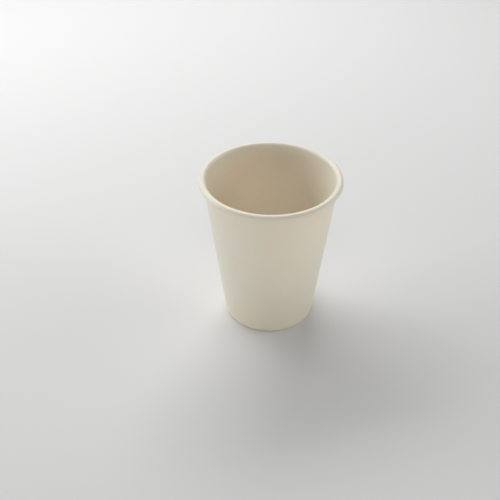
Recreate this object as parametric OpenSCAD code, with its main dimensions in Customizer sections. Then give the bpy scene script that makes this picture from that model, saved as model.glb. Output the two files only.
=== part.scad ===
// One-piece moulded drinking cup: a tapered wall, a turned-over rim and a raised base.
// It stands on its foot ring at Z = 0, with its axis on Z. All sizes are in millimetres.

/* [Cup] */
// Outside diameter over the rim
rim_d = 80; // [72:1:100]
// Height from the table to the top of the rim
cup_h = 91; // [60:1:140]
// Outside diameter of the wall, carried down to the table
foot_d = 52; // [40:1:62]
// Thickness of the wall, square to its face
wall_t = 1.5; // [1:0.1:2]

/* [Rim] */
// Width of the rim, from its inner edge to its outer edge
rim_w = 4; // [3.8:0.1:5]
// Height of the rim
rim_h = 3.1; // [3.1:0.1:4.4]
// Rounding along the top of the rim, at both its edges
rim_r = 1.8; // [1.2:0.1:1.8]
// Rounding along the lower outer edge of the lip
lip_r = 1.2; // [0.6:0.1:1.2]
// Width of the groove between the wall and the turned-down lip
groove_w = 1.2; // [0.6:0.1:1.3]
// Lean of the lip's inner side, in degrees
lip_lean = 2; // [1:1:5]
// Thickness of the plastic over the groove
web_t = 1.7; // [1.6:0.1:2]

/* [Base] */
// Thickness of the base plate
base_t = 1.6; // [1:0.1:3]
// Height of the base plate's underside over the table
base_rise = 2; // [1:0.1:3.5]
// Width of the foot ring, from the wall's outer face to the recess
foot_w = 2.2; // [2:0.1:4]
// Lean of the recess's side, in degrees
recess_lean = 6; // [1:1:20]
// Rounding of the foot's outer edge
foot_r = 1.4; // [0.6:0.1:1.5]
// Rounding of the corner all round the top of the recess
recess_r = 0.6; // [0.2:0.1:0.9]
// Rounding inside, between the floor and the wall
floor_r = 3; // [1:0.5:8]

/* [Moulding mark] */
// Diameter of the shallow dish in the middle of the base's underside
dish_d = 8; // [4:0.5:16]
// Depth of the dish
dish_depth = 0.4; // [0.1:0.1:0.6]
// Diameter of the small stub left in the dish
stub_d = 2; // [1:0.2:3]

/* [Hidden] */
$fn = 160;

// How far a cut runs past the face that it opens
past = 1;
// How far inside a round its straight neighbour ends, so that the two cross cleanly
seam = 0.001;

edge_z = cup_h - rim_r;
inner_edge_x = rim_d / 2 - rim_w + rim_r;
outer_edge_x = rim_d / 2 - rim_r;
lip_x = rim_d / 2 - lip_r;
lip_z = cup_h - rim_h;
floor_z = base_rise + base_t;

// Lean of the wall that brings its inner face up to the round of the rim's inner edge
edge_run = inner_edge_x - foot_d / 2;
lean = atan2(edge_run, edge_z) + asin((wall_t - rim_r + seam) / norm([edge_run, edge_z]));
wall_top = edge_z + rim_r * sin(lean);

// Radius, at height z, of the wall's face that lies t inside its outer face
function wall_r(z, t = 0) = foot_d / 2 + z * tan(lean) - t / cos(lean);

// Half of a round shape that widens upwards as the wall does, t inside the wall's outer face
module widening_half(bottom, top, t, r) {
  centre = [wall_r(bottom + r, t) - r / cos(lean), bottom + r];
  touch = centre + (r - seam) * [cos(lean), -sin(lean)];
  polygon([[0, bottom], [centre.x, bottom], touch, [wall_r(top, t), top], [0, top]]);
  translate(centre) circle(r);
}

// Half of a round hollow that opens downwards from z = 0 and narrows as it rises
module hollow_half(inner_x, mouth_x, height, side_lean, r) {
  centre = [mouth_x - height * tan(side_lean) - r * tan(45 - side_lean / 2), height - r];
  touch = centre + (r - seam) * [cos(side_lean), sin(side_lean)];
  polygon([[inner_x, -past], [mouth_x + past * tan(side_lean), -past], touch,
           [centre.x, height], [inner_x, height]]);
  translate(centre) circle(r);
}

// The rim's section: round over both edges and round under the outer one, open under the lip
module rim_half() {
  root_x = wall_r(lip_z, wall_t / 2);
  difference() {
    union() {
      intersection() {
        union() {
          translate([inner_edge_x, edge_z]) circle(rim_r);
          translate([outer_edge_x, edge_z]) circle(rim_r);
        }
        translate([0, edge_z]) square([rim_d, cup_h]);
      }
      translate([lip_x, lip_z + lip_r]) circle(lip_r);
      polygon([[root_x, lip_z], [lip_x, lip_z], [rim_d / 2, lip_z + lip_r], [rim_d / 2, edge_z],
               [outer_edge_x, cup_h], [inner_edge_x, cup_h], [root_x, edge_z]]);
    }
    translate([0, lip_z])
    hollow_half(root_x, wall_r(lip_z) + groove_w, rim_h - web_t, lip_lean, groove_w / 2);
  }
}

// The shallow round dish where the plastic entered the mould, with the stub standing in it
module dish_half() {
  dish_r = (pow(dish_d / 2, 2) + pow(dish_depth, 2)) / (2 * dish_depth);
  difference() {
    intersection() {
      translate([0, dish_depth - dish_r]) circle(dish_r);
      translate([0, -past]) square([dish_d / 2 + past, past + dish_depth]);
    }
    square([stub_d / 2, base_t]);
  }
}

module cup() {
  color([0.93, 0.89, 0.80])
  rotate_extrude()
  difference() {
    union() {
      widening_half(0, wall_top, 0, foot_r);
      rim_half();
    }
    widening_half(floor_z, cup_h + past, wall_t, floor_r);
    hollow_half(0, foot_d / 2 - foot_w, base_rise, recess_lean, recess_r);
    translate([0, base_rise]) dish_half();
  }
}

cup();
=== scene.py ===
import math

import bpy
import numpy as np
from mathutils import Matrix, Vector


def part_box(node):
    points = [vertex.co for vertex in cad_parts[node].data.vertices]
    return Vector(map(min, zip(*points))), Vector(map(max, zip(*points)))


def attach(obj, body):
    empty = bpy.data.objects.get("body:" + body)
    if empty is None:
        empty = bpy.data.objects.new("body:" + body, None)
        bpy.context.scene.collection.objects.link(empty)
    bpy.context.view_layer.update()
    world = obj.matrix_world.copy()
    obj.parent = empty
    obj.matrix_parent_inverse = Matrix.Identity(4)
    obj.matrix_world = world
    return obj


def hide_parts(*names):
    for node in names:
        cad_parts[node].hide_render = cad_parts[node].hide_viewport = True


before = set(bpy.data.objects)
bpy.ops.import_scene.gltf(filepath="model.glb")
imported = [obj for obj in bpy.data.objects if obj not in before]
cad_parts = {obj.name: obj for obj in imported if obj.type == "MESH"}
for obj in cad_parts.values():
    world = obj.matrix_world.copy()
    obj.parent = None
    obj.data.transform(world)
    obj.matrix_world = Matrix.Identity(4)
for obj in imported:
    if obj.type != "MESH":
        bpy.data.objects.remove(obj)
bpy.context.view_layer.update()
print("cup frame loaded")

mm = 0.001
imageSide = 500  # pixels along each side of the picture


# Cup
# Sizes are in millimetres. Its width and height over the rim come from the frame.
cup = {
    "name": "cup_shell",
    "footWidth": 52.0,  # the wall's outer face, carried down to the table
    "wall": 1.5,
    "rimWidth": 4.0,
    "rimHeight": 3.1,
    "rimRound": 1.8,  # along the top, at both edges
    "lipRound": 1.2,  # along the lower outer edge
    "grooveWidth": 1.2,  # between the wall and the turned-down lip
    "grooveLean": 2.0,  # degrees
    "web": 1.7,  # plastic over the groove
    "grooveOuterRound": 0.2,
    "grooveInnerRound": 0.25,
    "base": 1.6,
    "baseRise": 2.0,
    "floorRound": 3.0,
    "footRing": 2.2,
    "footRound": 1.4,
    "footInnerRound": 0.3,
    "recessLean": 6.0,  # degrees
    "recessRound": 0.6,
    "dishWidth": 8.0,
    "dishDepth": 0.4,
    "stubWidth": 2.0,
    "stubRound": 0.15,
    "around": 256,  # faces round the cup
    "roundSteps": 14,  # faces across each rounded corner
    "ringSpacing": 2.2,
    "samePlace": 0.0001,  # points of the outline closer than this are one
}


def roundCorners(corners, radii, steps):
    # Each corner gives way to the arc that touches both its sides: a vector from the arc's centre
    # turns by an even share of the corner's angle at each step. The first and last points stay.
    before, here, after = corners[:-2], corners[1:-1], corners[2:]
    r = radii[1:-1, None]
    arriving = (here - before) / np.linalg.norm(here - before, axis=1, keepdims=True)
    leaving = (after - here) / np.linalg.norm(after - here, axis=1, keepdims=True)
    cross = arriving[:, :1] * leaving[:, 1:] - arriving[:, 1:] * leaving[:, :1]
    turn = np.arctan2(cross, (arriving * leaving).sum(axis=1, keepdims=True))
    side = np.sign(turn) * np.stack([-arriving[:, 1], arriving[:, 0]], axis=1)
    start = here - arriving * r * np.tan(np.abs(turn) / 2)
    centre = start + side * r
    angle = turn * np.linspace(0.0, 1.0, steps + 1)
    spoke = -side * r
    x = centre[:, :1] + spoke[:, :1] * np.cos(angle) - spoke[:, 1:] * np.sin(angle)
    y = centre[:, 1:] + spoke[:, :1] * np.sin(angle) + spoke[:, 1:] * np.cos(angle)
    arcs = np.stack([x, y], axis=2).reshape(-1, 2)
    return np.concatenate([corners[:1], arcs, corners[-1:]])


def spaceRings(outline, spacing, samePlace):
    # Keeps the outline's own points, with doubles made one, and adds a point wherever its length
    # passes a multiple of the spacing, unless one stands within a quarter of the spacing.
    stretch = np.linalg.norm(np.diff(outline, axis=0), axis=1)
    outline = outline[np.append(True, stretch > samePlace)]
    length = np.append(0.0, np.cumsum(np.linalg.norm(np.diff(outline, axis=0), axis=1)))
    extra = np.arange(spacing, length[-1], spacing)
    nearest = np.abs(extra[:, None] - length).min(axis=1)
    places = np.sort(np.concatenate([length, extra[nearest > spacing / 4]]))
    radius = np.interp(places, length, outline[:, 0])
    height = np.interp(places, length, outline[:, 1])
    return np.stack([radius, height], axis=1)


def cupOutline(size, width, height):
    # Radius and height along the cup's section, from the middle of the floor, up the inside,
    # over the rim, down the outside and in under the base. The wall's lean brings its inner
    # face up to the round of the rim's inner edge.
    edge = size["rimRound"]
    rimX = width / 2 - size["rimWidth"] + edge
    rimZ = height - edge
    run = rimX - size["footWidth"] / 2
    lean = math.atan2(run, rimZ) + math.asin((size["wall"] - edge) / math.hypot(run, rimZ))

    def face(z, inside=0.0):
        return size["footWidth"] / 2 + z * math.tan(lean) - inside / math.cos(lean)

    floor = size["baseRise"] + size["base"]
    lip = height - size["rimHeight"]
    grooveX = face(lip) + size["grooveWidth"]
    grooveTop = height - size["web"]
    grooveTopX = grooveX - (grooveTop - lip) * math.tan(math.radians(size["grooveLean"]))
    recessX = size["footWidth"] / 2 - size["footRing"]
    recessTopX = recessX - size["baseRise"] * math.tan(math.radians(size["recessLean"]))
    dishX, stubX = size["dishWidth"] / 2, size["stubWidth"] / 2
    # the dish is so shallow that a straight slope stands for its arc, from its edge to the stub
    dishCurve = (dishX**2 + size["dishDepth"] ** 2) / (2 * size["dishDepth"])
    dishMiddle = size["baseRise"] + size["dishDepth"] - dishCurve
    stubFoot = dishMiddle + math.sqrt(dishCurve**2 - stubX**2)
    corners = [
        (0.0, floor, 0.0),
        (face(floor, size["wall"]), floor, size["floorRound"]),
        (face(height, size["wall"]), height, edge),
        (width / 2, height, edge),
        (width / 2, lip, size["lipRound"]),
        (grooveX, lip, size["grooveOuterRound"]),
        (grooveTopX, grooveTop, size["grooveWidth"] / 2),
        (face(grooveTop), grooveTop, size["grooveInnerRound"]),
        (face(0.0), 0.0, size["footRound"]),
        (recessX, 0.0, size["footInnerRound"]),
        (recessTopX, size["baseRise"], size["recessRound"]),
        (dishX, size["baseRise"], size["stubRound"]),
        (stubX, stubFoot, size["stubRound"]),
        (stubX, size["baseRise"], size["stubRound"]),
        (0.0, size["baseRise"], 0.0),
    ]
    table = np.array(corners)
    rounded = roundCorners(table[:, :2], table[:, 2], size["roundSteps"])
    return spaceRings(rounded, size["ringSpacing"], size["samePlace"])


def turnedSurface(outline, around):
    # x is the outline's radius times the cosine of the angle, y is it times the sine, z is its height.
    # The outline's two ends lie on the axis, and each closes in a fan of triangles.
    angle = np.linspace(0.0, 2 * math.pi, around, endpoint=False)
    ring = outline[1:-1]
    x = ring[:, :1] * np.cos(angle)
    y = ring[:, :1] * np.sin(angle)
    z = ring[:, 1:] + 0 * angle
    grid = np.stack([x, y, z], axis=2).reshape(-1, 3)
    poles = np.array([[0.0, 0.0, outline[0, 1]], [0.0, 0.0, outline[-1, 1]]])
    i, j = np.meshgrid(np.arange(len(ring) - 1), np.arange(around), indexing="ij")
    k = (j + 1) % around
    quads = np.stack([i * around + j, (i + 1) * around + j, (i + 1) * around + k, i * around + k], axis=2)
    step = np.arange(around)
    top, under = len(grid), len(grid) + 1
    last = (len(ring) - 1) * around
    following = (step + 1) % around
    firstFan = np.stack([step * 0 + top, step, following], axis=1)
    lastFan = np.stack([last + step, step * 0 + under, last + following], axis=1)
    faces = quads.reshape(-1, 4).tolist() + firstFan.tolist() + lastFan.tolist()
    return np.concatenate([grid, poles]) * mm, faces


def makePiece(name, points, faces):
    mesh = bpy.data.meshes.new(name)
    mesh.from_pydata(points.tolist(), [], faces)
    mesh.polygons.foreach_set("use_smooth", np.ones(len(mesh.polygons), dtype=bool))
    mesh.update()
    piece = bpy.data.objects.new(name, mesh)
    bpy.context.scene.collection.objects.link(piece)
    return piece


def makeCup():
    low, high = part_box("cup")
    outline = cupOutline(cup, (high.x - low.x) / mm, (high.z - low.z) / mm)
    points, faces = turnedSurface(outline, cup["around"])
    shell = makePiece(cup["name"], points, faces)
    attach(shell, "root")
    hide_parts("cup")
    print(f"cup shell: {len(outline)} rings, {len(faces)} faces")
    return shell


# Cream plastic
# Lengths are in metres, colours are linear.
creamPlastic = {
    "name": "cream_plastic",
    "tone": (0.800, 0.756, 0.641),
    "toneAlong": (0.815, 0.772, 0.660),
    "paintedFootShade": (0.804, 0.727, 0.594),  # painted warm shade by the foot, standing in for warm light bounced near the floor
    "paintedShadeReach": 0.042,  # height at which the painted shade has faded out
    "roughness": (0.34, 0.42),
    "waveHeight": 0.00002,
    "grainHeight": 0.000004,
    "cloud": {"size": 0.03, "detail": 3.0, "coarseness": 0.5},
    "patch": {"size": 0.008, "detail": 4.0, "coarseness": 0.6},
    "wave": {"size": 0.014, "detail": 1.0, "coarseness": 0.5},
    "grain": {"size": 0.00035, "detail": 2.0, "coarseness": 0.5},
    "ior": 1.46,
    "gloss": 0.4,  # 0.5 is the plain strength of the reflection
    "depth": 0.004,  # how far light runs inside the plastic, so that the thin wall lets some through
    "depthShare": 0.65,
    "depthColour": (1.0, 0.68, 0.66),
}


def addNode(tree, kind, settings=None, **inputs):
    node = tree.nodes.new(kind)
    for key, value in (settings or {}).items():
        setattr(node, key, value)
    for key, value in inputs.items():
        node.inputs[key.replace("_", " ")].default_value = value
    return node


def addNoise(tree, place, noise):
    # blotches about noise["size"] metres across, with finer ones as strong as its coarseness says
    node = addNode(tree, "ShaderNodeTexNoise", Scale=1 / noise["size"], Detail=noise["detail"])
    node.inputs["Roughness"].default_value = noise["coarseness"]
    tree.links.new(place, node.inputs["Vector"])
    return node.outputs["Fac"]


def makePlastic(look):
    material = bpy.data.materials.new(look["name"])
    material.use_nodes = True
    tree = material.node_tree
    link = tree.links.new
    surface = tree.nodes["Principled BSDF"]
    place = addNode(tree, "ShaderNodeTexCoord").outputs["Object"]

    # broad, faint change of tone
    tone = addNode(tree, "ShaderNodeMix", {"data_type": "RGBA"})
    tone.inputs["A"].default_value = (*look["tone"], 1.0)
    tone.inputs["B"].default_value = (*look["toneAlong"], 1.0)
    link(addNoise(tree, place, look["cloud"]), tone.inputs["Factor"])

    # painted warm shade: the tone deepens slowly towards the foot, standing in for warm light near the
    # floor
    split = addNode(tree, "ShaderNodeSeparateXYZ")
    paintedShadeMask = addNode(tree, "ShaderNodeMapRange", {"interpolation_type": "SMOOTHSTEP"})
    paintedShadeMask.inputs["From Max"].default_value = look["paintedShadeReach"]
    paintedShadeMix = addNode(tree, "ShaderNodeMix", {"data_type": "RGBA"})
    paintedShadeMix.inputs["A"].default_value = (*look["paintedFootShade"], 1.0)
    link(place, split.inputs["Vector"])
    link(split.outputs["Z"], paintedShadeMask.inputs["Value"])
    link(paintedShadeMask.outputs["Result"], paintedShadeMix.inputs["Factor"])
    link(tone.outputs["Result"], paintedShadeMix.inputs["B"])
    link(paintedShadeMix.outputs["Result"], surface.inputs["Base Color"])

    # patchy sheen of a moulded face
    sheen = addNode(tree, "ShaderNodeMapRange")
    sheen.inputs["To Min"].default_value, sheen.inputs["To Max"].default_value = look["roughness"]
    link(addNoise(tree, place, look["patch"]), sheen.inputs["Value"])
    link(sheen.outputs["Result"], surface.inputs["Roughness"])

    # slow waves under a fine grain
    swell = addNode(tree, "ShaderNodeBump", Strength=1.0, Distance=look["waveHeight"])
    relief = addNode(tree, "ShaderNodeBump", Strength=1.0, Distance=look["grainHeight"])
    link(addNoise(tree, place, look["wave"]), swell.inputs["Height"])
    link(addNoise(tree, place, look["grain"]), relief.inputs["Height"])
    link(swell.outputs["Normal"], relief.inputs["Normal"])
    link(relief.outputs["Normal"], surface.inputs["Normal"])

    surface.inputs["IOR"].default_value = look["ior"]
    surface.inputs["Specular IOR Level"].default_value = look["gloss"]
    surface.inputs["Subsurface Weight"].default_value = look["depthShare"]
    surface.inputs["Subsurface Radius"].default_value = look["depthColour"]
    surface.inputs["Subsurface Scale"].default_value = look["depth"]
    return material


# Floor
studioFloor = {
    "side": 1.5,
    "colour": (0.80, 0.80, 0.797),
    "roughness": 0.9,
    "gloss": 0.0,
}


def makeFloor():
    half = studioFloor["side"] / 2
    corners = np.array([(-half, -half, 0.0), (half, -half, 0.0), (half, half, 0.0), (-half, half, 0.0)])
    floor = makePiece("floor", corners, [(0, 1, 2, 3)])
    paper = bpy.data.materials.new("pale_paper")
    paper.use_nodes = True
    surface = paper.node_tree.nodes["Principled BSDF"]
    surface.inputs["Base Color"].default_value = (*studioFloor["colour"], 1.0)
    surface.inputs["Roughness"].default_value = studioFloor["roughness"]
    surface.inputs["Specular IOR Level"].default_value = studioFloor["gloss"]
    floor.data.materials.append(paper)
    print("floor laid")


# Camera
# The stand's place is in metres from the middle of the cup's foot, and the turns are in degrees.
viewpoint = {
    "focalPixels": 850.0,
    "sensor": 36.0,  # in millimetres
    "nearest": 0.01,
    "farthest": 10.0,
    "stand": (-0.01514, -0.39819, 0.33838),
    "right": 0.517,
    "down": 36.775,
    "roll": -0.1,
}


def makeCamera():
    data = bpy.data.cameras.new("camera")
    data.sensor_width = viewpoint["sensor"]
    data.lens = viewpoint["focalPixels"] * viewpoint["sensor"] / imageSide
    data.clip_start, data.clip_end = viewpoint["nearest"], viewpoint["farthest"]
    camera = bpy.data.objects.new("camera", data)
    heading = Matrix.Rotation(-math.radians(viewpoint["right"]), 4, "Z")
    tilt = Matrix.Rotation(math.radians(90 - viewpoint["down"]), 4, "X")
    roll = Matrix.Rotation(math.radians(viewpoint["roll"]), 4, "Z")
    camera.matrix_world = Matrix.Translation(viewpoint["stand"]) @ heading @ tilt @ roll
    bpy.context.scene.collection.objects.link(camera)
    bpy.context.scene.camera = camera
    print("camera set")


# Lights
# Each is a soft box aimed at the cup: azimuth is from +X towards +Y, in degrees, sizes in metres.
softBoxes = {
    "back": {"azimuth": 109.0, "elevation": 48.0, "width": 1.1, "height": 0.35, "watts": 7.7},
    "left": {"azimuth": 165.0, "elevation": 22.0, "width": 0.8, "height": 0.5, "watts": 3.7},
    "right": {"azimuth": 3.0, "elevation": 16.0, "width": 0.8, "height": 0.45, "watts": 3.35},
    "front": {"azimuth": 270.0, "elevation": 55.0, "width": 0.6, "height": 0.4, "watts": 1.35},
    "low front": {"azimuth": 263.0, "elevation": 7.0, "width": 0.9, "height": 0.14, "watts": 2.3},
}
room = {
    "boxDistance": 1.0,  # from the middle of the cup's foot to each soft box
    "colour": (1.0, 1.0, 1.0),
    "glow": 0.02,  # the room's strength as a light
    "shown": 0.65,  # its strength where the camera or a reflection meets it
}


def makeLights():
    for name, box in softBoxes.items():
        data = bpy.data.lights.new(name, "AREA")
        data.shape = "RECTANGLE"
        data.size, data.size_y = box["width"], box["height"]
        data.energy = box["watts"]
        lamp = bpy.data.objects.new(name, data)
        a, e = math.radians(box["azimuth"]), math.radians(box["elevation"])
        away = Vector((math.cos(a) * math.cos(e), math.sin(a) * math.cos(e), math.sin(e)))
        lamp.location = away * room["boxDistance"]
        lamp.rotation_euler = away.to_track_quat("Z", "Y").to_euler()
        bpy.context.scene.collection.objects.link(lamp)
    world = bpy.data.worlds.new("room")
    world.use_nodes = True
    tree = world.node_tree
    sky = tree.nodes["Background"]
    sky.inputs["Color"].default_value = (*room["colour"], 1.0)
    # camera, glossy and transmission rays take the shown strength, and all others the glow
    ray = addNode(tree, "ShaderNodeLightPath")
    seen = addNode(tree, "ShaderNodeMath", {"operation": "MAXIMUM"})
    through = addNode(tree, "ShaderNodeMath", {"operation": "MAXIMUM"})
    strength = addNode(tree, "ShaderNodeMapRange")
    strength.inputs["To Min"].default_value = room["glow"]
    strength.inputs["To Max"].default_value = room["shown"]
    tree.links.new(ray.outputs["Is Camera Ray"], seen.inputs[0])
    tree.links.new(ray.outputs["Is Glossy Ray"], seen.inputs[1])
    tree.links.new(seen.outputs["Value"], through.inputs[0])
    tree.links.new(ray.outputs["Is Transmission Ray"], through.inputs[1])
    tree.links.new(through.outputs["Value"], strength.inputs["Value"])
    tree.links.new(strength.outputs["Result"], sky.inputs["Strength"])
    bpy.context.scene.world = world
    print("lights hung")


shell = makeCup()
shell.data.materials.append(makePlastic(creamPlastic))
makeFloor()
makeCamera()
makeLights()
bpy.context.scene.view_settings.view_transform = "Standard"
